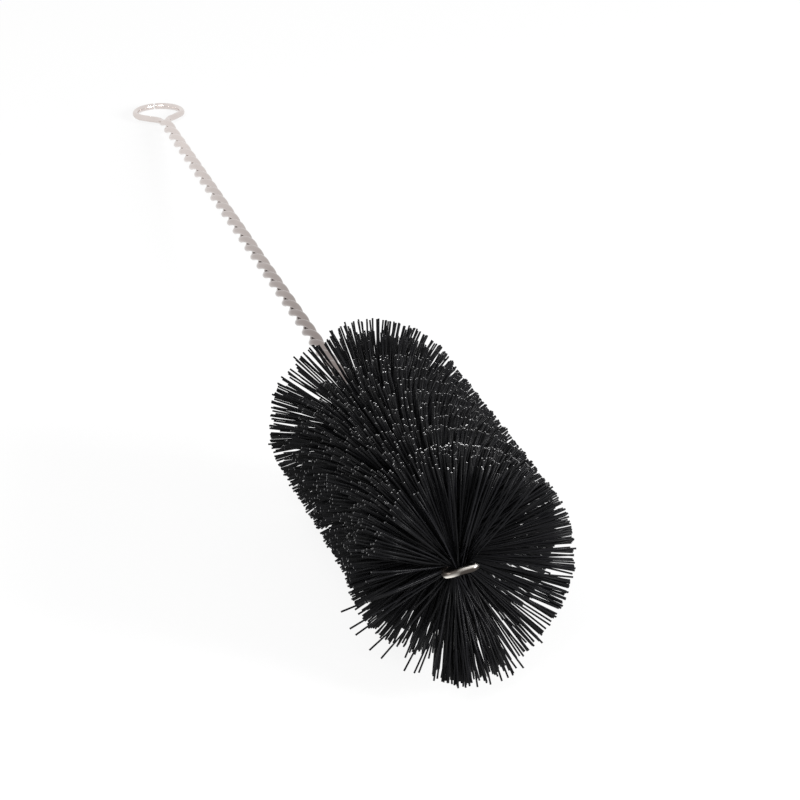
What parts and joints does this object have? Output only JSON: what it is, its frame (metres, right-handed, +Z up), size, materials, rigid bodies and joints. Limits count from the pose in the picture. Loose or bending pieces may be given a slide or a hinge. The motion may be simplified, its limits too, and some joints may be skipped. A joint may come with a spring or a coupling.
{
  "type": "bottle brush",
  "caption": "Twisted-wire bottle brush: a cylindrical head of stiff black bristles set as a spiral in a folded and twisted steel wire, with a hanging loop at the end of the stem.",
  "frame": {"origin": "on the surface the brush lies on, under the middle of its box", "axes": "+Y along the brush from the folded tip to the hanging loop, +Z up from the surface it lies on, +X to the right seen from the tip"},
  "size_m": [0.06, 0.457, 0.0684],
  "materials": {
    "wire": "bright drawn steel wire, slightly warm grey",
    "bristles": "black nylon filament, satin, flat cut tips"
  },
  "bodies": {
    "root": {"wire": "wire", "bristles": "bristles"}
  },
  "joints": []
}
